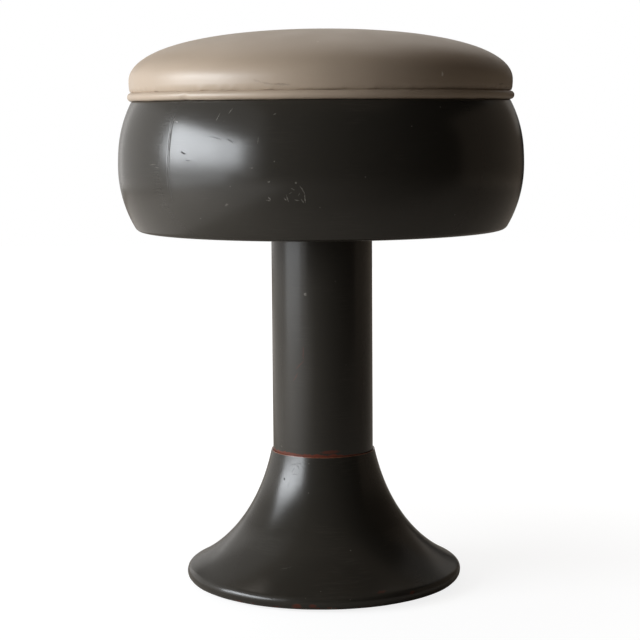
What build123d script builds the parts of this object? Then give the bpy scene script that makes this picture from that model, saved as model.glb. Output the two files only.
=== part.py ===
"""Low swivel stool: a piped round cushion on a bulging steel drum, which turns on a steel column
that stands in a trumpet-shaped weighted foot. Millimetres, +Z up, origin on the floor under the
column. Outlines are drawn as (radius, height) and turned about Z."""
from build123d import *
import math
import os

# Heights of the main forms, stacked from the floor up
bell_height = 116.5
column_shown = 196.0
drum_height = 110.3
cushion_edge_height = 17.7
cushion_crown = 45.5

# Clearances
neck_gap = 0.2
fit_gap = 0.05
running_gap = 0.05
screw_gap = 0.25
ball_gap = 0.08
end_play = 0.12
loose_gap = 0.4

# Spun foot
rim_radius = 122.4
rim_roll = 8.5
bell_wall = 1.3
neck_flare = 12.1
skirt_flare = 63.85
skirt_balance = 0.755

# Ballast and the felt that it stands on
felt_thickness = 2.5
felt_width = 28.0
felt_margin = 4.0
ballast_height = 21.5
ballast_taper = 13.4
ballast_lip = 7.0
ballast_lip_height = 5.0

# Column, its foot flange and the bolts from below
column_radius = 44.45
column_wall = 2.0
flange_margin = 14.0
flange_thickness = 8.0
spigot_height = 5.0
bolt_count = 4
bolt_radius = 5.0
bolt_offset = 9.55
bolt_head_across = 17.0
bolt_head_height = 6.4
bolt_sink = 1.1
bolt_chamfer = 1.0
washer_radius = 10.0
washer_thickness = 2.0

# Swivel: housing, bushes, spindle and thrust bearing
housing_flange = 8.0
housing_spigot = 10.0
hub_wall = 7.0
hub_length = 78.0
bush_wall = 3.0
bush_length = 22.0
bush_lip = 3.0
bush_flange = 2.0
spindle_radius = 12.0
spindle_end = 4.0
spindle_chamfer = 1.0
spindle_washer_margin = 1.0
spindle_washer_thickness = 2.0
circlip_thickness = 1.6
circlip_depth = 1.2
circlip_stand = 3.5
circlip_opening = 6.0
circlip_ear_radius = 2.4
circlip_ear_hole = 0.9
bearing_height = 15.0
race_margin = 5.5
race_spacing = 4.6
race_rounding = 0.6
ball_count = 12
ball_radius = 3.7
ball_offset = 6.0
cage_margin = 0.8
cage_thickness = 2.6

# Spider under the seat board
spider_thickness = 5.0
spider_margin = 20.0
spider_arm_width = 38.0
spider_hub_margin = 22.5
spider_corner = 8.0
spider_screw_inset = 14.0
spider_screw_spacing = 36.0
spider_arms = 4

# Wood screws
screw_radius = 2.1
screw_head_radius = 4.4
screw_head_height = 2.6
screw_bite = 10.0
screw_tip = 3.0
screw_slot_width = 1.1
screw_slot_depth = 1.2

# Drum
drum_wall = 1.5
drum_bulge = 10.95
drum_belly_height = 56.0
drum_lower_bow = 106.0
drum_setback = 0.45
drum_top_slope = 27.4
drum_balance = 2.6
drum_top_bend = 2.5
drum_bottom_bend = 6.5
drum_ledge_width = 28.3
drum_return = 7.0
drum_screw_edge = 10.0
drum_screw_count = 6

# Cushion, its board and its piping
board_thickness = 15.0
cushion_radius = 166.75
cover_thickness = 1.2
hem_margin = 16.0
cushion_tuck = 1.8
edge_fullness_out = 0.84
edge_fullness_up = 0.6
crown_fullness = 0.613
piping_radius = 3.7
piping_proud = 1.35
piping_gap = 1.0
piping_core_radius = 2.5
piping_lift = 0.8
piping_tuck = 0.3
welt_tail = 1.0
welt_tail_margin = 5.0
welt_tail_angle = 35.0

# Levels worked out from the stack
drum_bottom = bell_height + column_shown
ledge_level = drum_bottom + drum_height
hem_level = ledge_level + welt_tail
board_level = hem_level + cover_thickness
board_top = board_level + board_thickness
cushion_widest_level = ledge_level + cushion_edge_height
seat_height = cushion_widest_level + cushion_crown
spider_level = board_level - spider_thickness
bearing_level = spider_level - bearing_height
column_top = bearing_level - housing_flange
hub_bottom = bearing_level - hub_length
ballast_top = felt_thickness + ballast_height
column_foot = ballast_top + flange_thickness
screw_top = board_level + screw_bite

# Foot radii, from the rim and the column
rim_centre = rim_radius - rim_roll
rim_lip = rim_centre - rim_roll
ballast_radius = rim_lip - loose_gap
ballast_top_radius = rim_lip - ballast_taper
felt_outer_radius = ballast_radius - felt_margin
column_bore = column_radius - column_wall
bolt_circle = column_radius + bolt_offset
flange_radius = bolt_circle + flange_margin

# Swivel radii, from the spindle out
bush_radius = spindle_radius + bush_wall
bush_flange_radius = bush_radius + bush_lip
hub_radius = bush_radius + hub_wall
spindle_washer_radius = bush_flange_radius + spindle_washer_margin
circlip_radius = spindle_radius + circlip_stand
ball_circle = spindle_radius + ball_offset
cage_width = 2 * (ball_radius + cage_margin)
race_radius = ball_circle + race_margin
spider_hub_radius = race_radius + spider_hub_margin

# Seat radii, from the cushion in
piping_centre = cushion_radius + piping_proud - piping_radius
piping_level = ledge_level + piping_lift + piping_radius
cover_side = piping_centre - piping_radius - piping_gap
board_radius = cover_side - cover_thickness
drum_top_radius = cushion_radius - drum_setback
drum_radius = drum_top_radius + drum_bulge
drum_ledge_radius = drum_top_radius - drum_ledge_width
drum_screw_circle = drum_ledge_radius + drum_screw_edge
welt_tail_radius = drum_screw_circle - welt_tail_margin
hem_radius = drum_screw_circle - hem_margin
spider_reach = hem_radius - spider_margin
spider_outer_screws = spider_reach - spider_screw_inset
spider_screw_circles = (spider_outer_screws - spider_screw_spacing, spider_outer_screws)


def heading(angle):
    """Unit vector that points down, turned outward by an angle in degrees."""
    return Vector(math.sin(math.radians(angle)), -math.cos(math.radians(angle)))


def on_circle(centre, radius, angle):
    """Point of a circle in the outline's plane, by its angle above the horizontal."""
    turn = math.radians(angle)
    return Vector(centre[0] + radius * math.cos(turn), centre[1] + radius * math.sin(turn))


def two_arcs(start, start_angle, end, end_angle, balance):
    """Two tangent arcs between two points with given headings; balance weighs the first arc."""
    start = Vector(*start)
    end = Vector(*end)
    first_way = heading(start_angle)
    last_way = heading(end_angle)
    span = end - start
    square = 2 * balance * (first_way.dot(last_way) - 1)
    linear = -2 * span.dot(first_way * balance + last_way)
    constant = span.dot(span)
    reach = 2 * constant / (math.sqrt(linear**2 - 4 * square * constant) - linear)
    meeting = (start + first_way * (reach * balance) + (end - last_way * reach) * balance) / (1 + balance)
    first = TangentArc(start, meeting, tangent=first_way)
    second = TangentArc(meeting, end, tangent=first % 1)
    return [first, second]


def turned(face):
    """Solid of revolution about Z of a face drawn as (radius, height)."""
    return revolve(Plane.XZ * face, Axis.Z)


def ring(inner, outer, low, high):
    """Plain ring or, with no inner radius, disc between two levels."""
    return turned(Pos((inner + outer) / 2, (low + high) / 2) * Rectangle(outer - inner, high - low))


def sheet(edges, wall):
    """Face of a spun sheet: the outside line, thickened to its right."""
    return make_face(offset(Curve() + edges, amount=wall, side=Side.RIGHT))


def spread(shape, circles, count, start=0.0):
    """Copies of a shape round Z, on one circle or several."""
    return [place * shape for radius in circles for place in PolarLocations(radius, count, start)]


def holes(radius, low, high):
    """Drill that leaves a hole between two levels."""
    return Pos(0, 0, (low + high) / 2) * Cylinder(radius, high - low)


def group(shapes):
    """Like pieces kept together as separate solids."""
    return Compound([solid for shape in shapes for solid in shape.solids()])


def bell_base():
    """Spun foot: flared from the neck, then rolled under at the rim up to its inner lip."""
    neck = column_radius + neck_gap + bell_wall * math.cos(math.radians(neck_flare))
    roll = (rim_centre, rim_roll)
    skirt_end = on_circle(roll, rim_roll, skirt_flare)
    flare = two_arcs((neck, bell_height), neck_flare, skirt_end, skirt_flare, skirt_balance)
    outer_roll = ThreePointArc(skirt_end, on_circle(roll, rim_roll, 0), on_circle(roll, rim_roll, -90))
    inner_roll = ThreePointArc(outer_roll @ 1, on_circle(roll, rim_roll, -135), on_circle(roll, rim_roll, -180))
    return turned(sheet(flare + [outer_roll, inner_roll], bell_wall))


def ballast_disc():
    """Cast weight: its lip sits on the rolled rim, and its bolt heads are sunk in from below."""
    lip = rim_lip + ballast_lip
    outline = Polyline(
        (0, felt_thickness),
        (ballast_radius, felt_thickness),
        (ballast_radius, rim_roll),
        (lip, rim_roll),
        (lip, rim_roll + ballast_lip_height),
        (ballast_top_radius, ballast_top),
        (0, ballast_top),
        close=True,
    )
    weight = turned(make_face(outline))
    bolt_hole = holes(bolt_radius + loose_gap, felt_thickness, ballast_top)
    sink = holes(washer_radius + loose_gap, felt_thickness, bolt_seat_level())
    return weight - spread(bolt_hole + sink, [bolt_circle], bolt_count, bolt_start())


def bolt_seat_level():
    """Level of the faces that the bolts' washers bear on."""
    return felt_thickness + bolt_sink + bolt_head_height + washer_thickness


def bolt_start():
    """Angle of the first foot bolt, half a step from the X axis."""
    return 180 / bolt_count


def floor_felt():
    """Felt ring under the ballast."""
    return ring(felt_outer_radius - felt_width, felt_outer_radius, 0, felt_thickness)


def foot_bolts():
    """Hexagon bolts from below into the foot flange."""
    head_level = bolt_seat_level() - washer_thickness
    head = extrude(RegularPolygon(bolt_head_across / 2, 6, major_radius=False), bolt_head_height)
    shank = Pos(0, 0, bolt_head_height) * extrude(Circle(bolt_radius), column_foot - head_level - bolt_chamfer)
    shank = chamfer(shank.edges().group_by(Axis.Z)[-1], bolt_chamfer)
    bolt = Pos(0, 0, head_level - bolt_head_height) * (head + shank)
    return group(spread(bolt, [bolt_circle], bolt_count, bolt_start()))


def foot_washers():
    """Washers between the bolt heads and the ballast."""
    seat = bolt_seat_level()
    washer = ring(bolt_radius + loose_gap, washer_radius, seat - washer_thickness, seat)
    return group(spread(washer, [bolt_circle], bolt_count, bolt_start()))


def foot_flange():
    """Disc at the column's lower end, with a spigot in the tube and tapped holes for the bolts."""
    disc = ring(0, flange_radius, ballast_top, column_foot)
    spigot = ring(column_bore - column_wall, column_bore - fit_gap, column_foot, column_foot + spigot_height)
    tapped = holes(bolt_radius + fit_gap, ballast_top, column_foot)
    return disc + spigot - spread(tapped, [bolt_circle], bolt_count, bolt_start())


def column_tube():
    """Tube from the foot flange up into the drum."""
    return ring(column_bore, column_radius, column_foot, column_top)


def bearing_housing():
    """Turned cap on the column: a flange, a spigot in the tube and a long bored hub."""
    cap = ring(0, column_radius, column_top, bearing_level)
    spigot = ring(0, column_bore - fit_gap, column_top - housing_spigot, column_top)
    hub = ring(0, hub_radius, hub_bottom, column_top)
    bore = holes(bush_radius + fit_gap, hub_bottom, bearing_level)
    sink = holes(bush_flange_radius + loose_gap, bearing_level - bush_flange, bearing_level)
    return cap + spigot + hub - bore - sink


def bush(seat, way):
    """Flanged bush; way is 1 for a bush that reaches up from its flange and -1 for one that hangs."""
    bore = spindle_radius + running_gap
    body = Pos(0, 0, way * bush_length / 2) * Cylinder(bush_radius, bush_length)
    lip = Pos(0, 0, -way * bush_flange / 2) * Cylinder(bush_flange_radius, bush_flange)
    return Pos(0, 0, seat) * (body + lip - Cylinder(bore, 2 * bush_length + 2 * bush_flange))


def upper_bush():
    """Bush in the hub's top, its flange sunk level with the cap."""
    return bush(bearing_level - bush_flange, -1)


def lower_bush():
    """Bush in the hub's bottom, its flange under the hub."""
    return bush(hub_bottom, 1)


def race(bore, low, high):
    """Thrust washer with the balls' groove in the face that looks at them."""
    washer = ring(bore, race_radius, low, high)
    washer = fillet(washer.edges().filter_by(GeomType.CIRCLE).group_by(SortBy.RADIUS)[-1], race_rounding)
    middle = bearing_level + bearing_height / 2
    return washer - Pos(0, 0, middle) * Torus(ball_circle, ball_radius + ball_gap)


def race_thickness():
    """Thickness of one thrust washer."""
    return (bearing_height - race_spacing) / 2


def lower_race():
    """Standing washer, clear of the spindle."""
    return race(spindle_radius + loose_gap, bearing_level, bearing_level + race_thickness())


def upper_race():
    """Turning washer, fitted on the spindle under the spider."""
    return race(spindle_radius + fit_gap, spider_level - race_thickness(), spider_level)


def ball_cage():
    """Ring with a pocket for each ball, halfway between the washers."""
    middle = bearing_level + bearing_height / 2
    band = ring(
        ball_circle - cage_width / 2,
        ball_circle + cage_width / 2,
        middle - cage_thickness / 2,
        middle + cage_thickness / 2,
    )
    pocket = Pos(0, 0, middle) * Cylinder(ball_radius + ball_gap, cage_thickness)
    return band - spread(pocket, [ball_circle], ball_count)


def bearing_balls():
    """Balls of the thrust bearing."""
    ball = Pos(0, 0, bearing_level + bearing_height / 2) * Sphere(ball_radius)
    return group(spread(ball, [ball_circle], ball_count))


def washer_level():
    """Upper face of the spindle's retaining washer."""
    return hub_bottom - bush_flange - end_play


def swivel_spindle():
    """Spindle from the circlip below the lower bush up through the spider."""
    groove_top = washer_level() - spindle_washer_thickness
    groove_bottom = groove_top - circlip_thickness - fit_gap
    low = groove_bottom - spindle_end
    shaft = ring(0, spindle_radius, low, board_level)
    shaft = chamfer(shaft.edges().group_by(Axis.Z)[0], spindle_chamfer)
    return shaft - ring(spindle_radius - circlip_depth, spindle_radius + loose_gap, groove_bottom, groove_top)


def spindle_washer():
    """Washer that keeps the spindle from lifting out."""
    top = washer_level()
    return ring(spindle_radius + loose_gap, spindle_washer_radius, top - spindle_washer_thickness, top)


def spindle_circlip():
    """Circlip in the spindle's groove: an open ring with two holed ears."""
    inner = spindle_radius - circlip_depth + fit_gap
    ear_x = (inner + circlip_radius) / 2 + circlip_ear_radius / 2
    ear_y = circlip_opening / 2 + circlip_ear_radius
    ears = [Pos(ear_x, side * ear_y) * Circle(circlip_ear_radius) for side in (1, -1)]
    ear_holes = [Pos(ear_x, side * ear_y) * Circle(circlip_ear_hole) for side in (1, -1)]
    opening = Pos(circlip_radius, 0) * Rectangle(2 * circlip_radius, circlip_opening)
    outline = Circle(circlip_radius) + ears - Circle(inner) - opening - ear_holes
    low = washer_level() - spindle_washer_thickness - circlip_thickness
    return Pos(0, 0, low) * extrude(outline, circlip_thickness)


def spider_start():
    """Angle of the spider's first arm, half a step from the X axis."""
    return 180 / spider_arms


def seat_spider():
    """Flat plate with arms to the board's screws, on the spindle."""
    arm = Pos(spider_reach / 2, 0) * RectangleRounded(spider_reach, spider_arm_width, spider_corner)
    arms = [Rot(0, 0, spider_start() + 360 * index / spider_arms) * arm for index in range(spider_arms)]
    outline = Circle(spider_hub_radius) + arms - Circle(spindle_radius + fit_gap)
    plate = Pos(0, 0, spider_level) * extrude(outline, spider_thickness)
    return plate - spread(screw_hole(), spider_screw_circles, spider_arms, spider_start())


def wood_screw(seat):
    """Slotted pan-head screw from below: head under its seat, point in the board."""
    head_low = seat - screw_head_height
    dome = TangentArc((0, head_low), (screw_head_radius, seat), tangent=(1, 0))
    shank = Polyline(
        (screw_head_radius, seat),
        (screw_radius, seat),
        (screw_radius, screw_top - screw_tip),
        (0, screw_top),
        (0, head_low),
    )
    slot_height = 2 * screw_slot_depth
    slot = Pos(0, 0, head_low) * Box(2 * screw_head_radius, screw_slot_width, slot_height)
    return turned(make_face(Curve() + [dome, shank])) - slot


def screw_hole():
    """Drill for a screw through the plates, hem and welt under the board."""
    return holes(screw_radius + screw_gap, bearing_level, board_level)


def pilot_hole():
    """Drill for a screw's thread in the board."""
    return holes(screw_radius + fit_gap, board_level, screw_top)


def spider_screws():
    """Screws that hold the spider under the board."""
    return group(spread(wood_screw(spider_level), spider_screw_circles, spider_arms, spider_start()))


def drum_screws():
    """Screws through the drum's ledge into the board."""
    return group(spread(wood_screw(ledge_level - drum_wall), [drum_screw_circle], drum_screw_count))


def seat_board():
    """Round plywood board with its pilot holes."""
    board = ring(0, board_radius, board_level, board_top)
    board -= spread(pilot_hole(), spider_screw_circles, spider_arms, spider_start())
    return board - spread(pilot_hole(), [drum_screw_circle], drum_screw_count)


def drum_shell():
    """Bulging drum: a ledge under the board, a bowed wall and a return flange at the mouth."""
    widest = (drum_radius, drum_bottom + drum_belly_height)
    bend = (
        drum_top_radius - drum_top_bend * math.cos(math.radians(drum_top_slope)),
        ledge_level - drum_top_bend,
    )
    shoulder = on_circle(bend, drum_top_bend, drum_top_slope)
    ledge = Line((drum_ledge_radius, ledge_level), (bend[0], ledge_level))
    top_bend = TangentArc(ledge @ 1, shoulder, tangent=(1, 0))
    upper_wall = two_arcs(shoulder, drum_top_slope, widest, 0, drum_balance)
    # The lower bow and the corner below it are circles that touch from inside
    bow_centre = widest[0] - drum_lower_bow
    corner_level = drum_bottom + drum_bottom_bend
    drop = widest[1] - corner_level
    corner_radius = bow_centre + math.sqrt((drum_lower_bow - drum_bottom_bend) ** 2 - drop**2)
    touch_angle = -math.degrees(math.atan2(drop, corner_radius - bow_centre))
    touch = on_circle((bow_centre, widest[1]), drum_lower_bow, touch_angle)
    lower_wall = TangentArc(Vector(*widest), touch, tangent=(0, -1))
    corner = TangentArc(touch, (corner_radius, drum_bottom), tangent=lower_wall % 1)
    mouth = Line((corner_radius, drum_bottom), (corner_radius - drum_return, drum_bottom))
    wall = sheet([ledge, top_bend] + upper_wall + [lower_wall, corner, mouth], drum_wall)
    return turned(wall) - spread(screw_hole(), [drum_screw_circle], drum_screw_count)


def cushion_outline(inset):
    """Half section of the cushion with its board, drawn in by an inset from the outside."""
    side = cover_side - inset
    bottom = hem_level + inset
    belly = piping_level + piping_radius + piping_tuck + inset
    widest = cushion_radius - inset
    top = seat_height - inset
    edge_start = side + cushion_tuck
    edge_out = (widest - edge_start) * edge_fullness_out
    edge_up = (cushion_widest_level - belly) * edge_fullness_up
    crown_up = (top - cushion_widest_level) * crown_fullness
    edge = Bezier(
        (edge_start, belly),
        (edge_start + edge_out, belly),
        (widest, cushion_widest_level - edge_up),
        (widest, cushion_widest_level),
    )
    crown = Bezier(
        (widest, cushion_widest_level),
        (widest, cushion_widest_level + crown_up),
        (widest * crown_fullness, top),
        (0, top),
    )
    rest = Polyline((0, top), (0, bottom), (side, bottom), (side, belly), (edge_start, belly))
    return make_face(Curve() + [edge, crown, rest])


def foam_pad():
    """Filling between the cover and the board, over the board's edge."""
    board = Pos(board_radius / 2, board_level + board_thickness / 2) * Rectangle(board_radius, board_thickness)
    return turned(cushion_outline(cover_thickness) - board)


def cushion_cover():
    """Cover: crowned over the foam, drawn in above the piping and hemmed under the board."""
    open_middle = Pos(hem_radius / 2, hem_level + cover_thickness / 2) * Rectangle(hem_radius, cover_thickness)
    skin = turned(cushion_outline(0) - cushion_outline(cover_thickness) - open_middle)
    return skin - spread(screw_hole(), [drum_screw_circle], drum_screw_count)


def piping_welt():
    """Piping round the cushion's foot, with the tail that lies between the hem and the ledge."""
    centre = (piping_centre, piping_level)
    tail_end = piping_centre - piping_lift
    throat = on_circle(centre, piping_radius, 180 + welt_tail_angle)
    tail = Polyline(
        (welt_tail_radius, ledge_level),
        (tail_end, ledge_level),
        centre,
        throat,
        (cover_side + piping_tuck, hem_level),
        (welt_tail_radius, hem_level),
        close=True,
    )
    section = make_face(tail) + Pos(*centre) * Circle(piping_radius)
    welt = turned(section - Pos(*centre) * Circle(piping_core_radius + fit_gap))
    return welt - spread(screw_hole(), [drum_screw_circle], drum_screw_count)


def piping_core():
    """Cord in the piping."""
    return Pos(0, 0, piping_level) * Torus(piping_centre, piping_core_radius)


pieces = (
    bell_base,
    ballast_disc,
    floor_felt,
    foot_flange,
    foot_bolts,
    foot_washers,
    column_tube,
    bearing_housing,
    upper_bush,
    lower_bush,
    lower_race,
    ball_cage,
    bearing_balls,
    upper_race,
    swivel_spindle,
    spindle_washer,
    spindle_circlip,
    seat_spider,
    spider_screws,
    seat_board,
    drum_shell,
    drum_screws,
    foam_pad,
    cushion_cover,
    piping_welt,
    piping_core,
)

os.makedirs("parts", exist_ok=True)
for piece in pieces:
    export_step(piece(), f"parts/{piece.__name__}.step")
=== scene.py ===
"""Low swivel stool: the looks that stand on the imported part.

Everything is in metres in the part's own frame: +Z up, the column on the Z axis, and the
photograph's camera on the -Y side. An azimuth is in degrees from that side, right positive."""

import cmath
from functools import partial
from math import atan2, cos, degrees, pi, radians, sin, sqrt, tan, tau

import bmesh
import bpy
import numpy as np
from mathutils import Euler, Matrix, Vector


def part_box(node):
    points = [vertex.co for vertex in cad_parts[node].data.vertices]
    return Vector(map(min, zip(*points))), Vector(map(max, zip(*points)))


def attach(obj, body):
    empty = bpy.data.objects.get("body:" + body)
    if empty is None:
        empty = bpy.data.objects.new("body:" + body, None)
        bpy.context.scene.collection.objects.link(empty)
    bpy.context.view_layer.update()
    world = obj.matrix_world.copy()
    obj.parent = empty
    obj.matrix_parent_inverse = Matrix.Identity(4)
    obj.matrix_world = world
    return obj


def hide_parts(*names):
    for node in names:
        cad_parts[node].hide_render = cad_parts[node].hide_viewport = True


bl_info = {
    "name": "Swivel stool",
    "version": (1, 0, 0),
    "blender": (4, 5, 0),
    "location": "View3D > Sidebar > Stool",
    "description": "Dresses the packed swivel stool in enamel, leathercloth and metal",
    "category": "Object",
}

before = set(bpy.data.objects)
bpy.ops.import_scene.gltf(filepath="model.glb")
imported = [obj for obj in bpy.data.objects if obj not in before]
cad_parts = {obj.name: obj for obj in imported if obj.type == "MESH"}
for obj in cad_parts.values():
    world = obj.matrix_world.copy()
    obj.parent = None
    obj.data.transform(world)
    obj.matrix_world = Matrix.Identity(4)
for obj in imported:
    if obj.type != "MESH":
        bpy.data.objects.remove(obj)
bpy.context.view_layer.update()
MM = 0.001
neck_level = 116.5 * MM

cushion_low, cushion_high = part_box("cushion_cover")
drum_low, drum_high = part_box("drum_shell")
column_low, column_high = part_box("column_tube")
board_low, board_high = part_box("seat_board")
bell_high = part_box("bell_base")[1]
welt_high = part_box("piping_welt")[1]


def linear(hex_colour):
    """Linear RGBA of an sRGB hex colour."""
    parts = [int(hex_colour[place : place + 2], 16) / 255 for place in (1, 3, 5)]
    return [part / 12.92 if part <= 0.04045 else ((part + 0.055) / 1.055) ** 2.4 for part in parts] + [1.0]


def number_setting(label, about, default, **kind):
    """Setting that is a number, with its unit or subtype where one fits."""
    return bpy.props.FloatProperty(name=label, description=about, default=default, **kind)


def length_setting(label, about, default):
    """Setting that is a length in metres."""
    return number_setting(label, about, default, unit="LENGTH")


def angle_setting(label, about, angle):
    """Setting that is an angle, given in degrees."""
    return number_setting(label, about, radians(angle), subtype="ANGLE")


def colour_setting(label, about, hex_colour):
    """Setting that is a colour."""
    paint = {"default": linear(hex_colour), "subtype": "COLOR", "size": 4}
    return bpy.props.FloatVectorProperty(name=label, description=about, **paint)


class SeatSettings(bpy.types.PropertyGroup):
    """Cushion, cover and piping"""

    radius: length_setting("Cushion radius", "Radius of the cushion where it is widest", cushion_high.x)
    top: length_setting("Seat height", "Height of the cushion's crown", cushion_high.z - 0.5 * MM)
    widest_level: length_setting(
        "Widest level", "Height at which the cushion is widest", drum_high.z + 18.9 * MM
    )
    piping_radius: length_setting("Piping radius", "Radius of the covered cord round the cushion", 3.7 * MM)
    piping_lift: length_setting(
        "Piping lift", "How far the rim of the drum presses the piping up", 0.9 * MM
    )
    piping_wobble: length_setting(
        "Piping wobble", "How far the sewn piping strays from a true ring", 0.8 * MM
    )
    pressure: number_setting("Filling pressure", "Pressure of the foam in the cloth simulation", 4.0)
    fabric_excess: number_setting(
        "Fabric excess", "Share by which the cover is cut larger than the foam", 0.004, subtype="FACTOR"
    )
    pucker_depth: length_setting(
        "Pucker depth", "Mean height of the soft folds that the simulation leaves in the cover", 0.3 * MM
    )
    colour: colour_setting("Leathercloth", "Colour of the cover and the piping", "#B2A08D")
    staple_count: bpy.props.IntProperty(
        name="Staples", description="Staples that hold the hem under the board", default=66
    )


class ShellSettings(bpy.types.PropertyGroup):
    """Enamelled steel: the drum, the column and the foot"""

    wall: length_setting("Drum wall", "Thickness of the drum's sheet", 1.5 * MM)
    foot_wall: length_setting("Foot wall", "Thickness of the spun foot's sheet", 1.3 * MM)
    seam_azimuth: angle_setting("Seam azimuth", "Where the drum's sheet was closed by a weld", -44.0)
    seam_step: length_setting("Seam step", "How far the sheet falls away beside the weld", 0.16 * MM)
    enamel: colour_setting("Enamel", "Colour of the top coat", "#302D28")
    primer: colour_setting("Primer", "Colour of the red-oxide primer under the enamel", "#5C2B1F")


class StageSettings(bpy.types.PropertyGroup):
    """Camera and light"""

    camera_place: bpy.props.FloatVectorProperty(
        name="Camera",
        description="Where the photograph was taken from",
        subtype="TRANSLATION",
        size=3,
        default=(-0.0020, -1.5428, 0.4133),
    )
    camera_pitch: angle_setting("Camera pitch", "How far the camera looks down", 6.72)
    camera_roll: angle_setting("Camera roll", "How far the camera leans to its right", 0.4)
    lens: number_setting("Lens", "Focal length on a 36 mm wide sensor", 98.6, subtype="DISTANCE_CAMERA")
    window_distance: length_setting(
        "Window distance", "How far the window and the pale wall stand to the left", 1.6
    )
    window_light: number_setting("Window light", "Brightness of the window, where 1 is white", 11.6)
    wall_light: number_setting("Wall light", "Brightness of the pale walls, where 1 is white", 0.9)
    room_light: number_setting("Room light", "Brightness of the dim room in front, where 1 is white", 0.012)


def feed(made, inputs):
    """Links a node's inputs to sockets or to other nodes' first live output, or sets their values."""
    for key, value in inputs.items():
        if isinstance(value, bpy.types.Node):
            value = next(output for output in value.outputs if output.enabled)
        if isinstance(value, bpy.types.NodeSocket):
            made.id_data.links.new(value, made.inputs[key])
        else:
            made.inputs[key].default_value = value


def add(tree, kind, inputs=None, **settings):
    """Adds a node with its settings, links and values. Its kind is named without the family."""
    families = ("ShaderNode", "GeometryNode", "FunctionNode", "Node")
    made = tree.nodes.new(next(start + kind for start in families if hasattr(bpy.types, start + kind)))
    for name, value in settings.items():
        setattr(made, name, value)
    feed(made, inputs or {})
    return made


def new_material(name):
    """Material, what adds a node to it, its shader node and its object coordinates."""
    material = bpy.data.materials.new(name)
    material.use_nodes = True
    node = partial(add, material.node_tree)
    coords = node("TexCoord").outputs["Object"]
    return material, node, material.node_tree.nodes["Principled BSDF"], coords


def shaded(colour, factor):
    """Colour made lighter or darker, its alpha kept."""
    return [part * factor for part in colour[:3]] + [1.0]


def on_side(radius, azimuth, height):
    """Point on the stool by radius, azimuth in degrees and height."""
    turn = radians(azimuth)
    return Vector((radius * sin(turn), -radius * cos(turn), height))


def turned(radius, turn, height):
    """Points by arrays of radius, azimuth in radians and height."""
    return np.stack((radius * np.sin(turn), -radius * np.cos(turn), height), -1)


def arc(start, way, end, steps):
    """Arc that leaves start along a unit heading and reaches end: its points and its last heading."""
    chord = end - start
    turn = 2 * cmath.phase(chord / way)
    along = np.linspace(0, 1, steps + 1)
    if abs(turn) < 1e-6:
        return start + chord * along, way
    length = abs(chord) * turn / (2 * sin(turn / 2))
    points = start + way * length * (np.exp(1j * turn * along) - 1) / (1j * turn)
    return points, way * cmath.exp(1j * turn)


def heading(angle):
    """Heading that points down, turned outward by an angle in degrees."""
    return complex(sin(radians(angle)), -cos(radians(angle)))


def two_arcs(start, start_angle, end, end_angle, balance, steps):
    """Two tangent arcs between two points with given headings, as the part draws them."""
    first_way = heading(start_angle)
    last_way = heading(end_angle)
    span = end - start
    dot = (first_way.conjugate() * last_way).real
    square = 2 * balance * (dot - 1)
    slope = -2 * (span.conjugate() * (first_way * balance + last_way)).real
    constant = abs(span) ** 2
    reach = 2 * constant / (sqrt(slope**2 - 4 * square * constant) - slope)
    meeting = (start + first_way * reach * balance + (end - last_way * reach) * balance) / (1 + balance)
    first, way = arc(start, first_way, meeting, steps)
    second = arc(meeting, way, end, steps)[0]
    return np.concatenate((first, second[1:]))


def bow_line(corners, steps):
    """Smooth line that leaves the first of four corners towards the second and ends from the third."""
    along = np.linspace(0, 1, steps)
    back = 1 - along
    first, second, third, last = corners
    return first * back**3 + 3 * second * along * back**2 + 3 * third * along**2 * back + last * along**3


def normal_of(line):
    """Unit headings to the left of a line."""
    way = np.gradient(line)
    return 1j * way / abs(way)


def section_of(outline, wall):
    """Closed section of a sheet, from its outside line and its thickness."""
    inside = outline - normal_of(outline) * wall
    return np.concatenate((outline, inside[::-1]))


def drum_outline():
    """Outside line of the drum from its ledge over the wall to the mouth, as radius + height j.
    Its rim stands a little above the ledge, where the piping is pressed into it."""
    ledge_radius = 138.0 * MM
    top_radius = 166.3 * MM
    rim_rise = 2.0 * MM
    rise_run = 4.5 * MM
    bend = 2.5 * MM
    corner_bend = 6.5 * MM
    bow = 106.0 * MM
    mouth_return = 7.0 * MM
    shoulder_angle = 27.4
    slope = radians(shoulder_angle)
    widest = complex(drum_high.x, drum_low.z + 56.0 * MM)
    foot = complex(top_radius, drum_high.z - bend * (1 - sin(slope)))
    shoulder = foot + 1j * rim_rise * (1 + 1j * tan(slope))
    bend_centre = shoulder - bend * cmath.exp(1j * slope)
    flat = np.linspace(ledge_radius, bend_centre.real - rise_run, 9) + 1j * drum_high.z
    climb = np.linspace(0, 1, 8)[1:]
    lifted = flat[-1] + rise_run * climb + 1j * rim_rise * climb**2 * (3 - 2 * climb)
    top_bend = arc(complex(lifted[-1]), 1 + 0j, shoulder, 6)[0]
    upper = two_arcs(shoulder, shoulder_angle, widest, 0, 2.6, 26)
    bow_centre = widest.real - bow
    drop = widest.imag - drum_low.z - corner_bend
    corner_radius = bow_centre + sqrt((bow - corner_bend) ** 2 - drop**2)
    touch_angle = -atan2(drop, corner_radius - bow_centre)
    touch = complex(bow_centre, widest.imag) + bow * cmath.exp(1j * touch_angle)
    lower, way = arc(widest, -1j, touch, 34)
    corner = arc(touch, way, complex(corner_radius, drum_low.z), 10)[0]
    mouth = np.linspace(corner_radius, corner_radius - mouth_return, 5) + 1j * drum_low.z
    return np.concatenate((flat, lifted, top_bend[1:], upper[1:], lower[1:], corner[1:], mouth[1:]))


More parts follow.
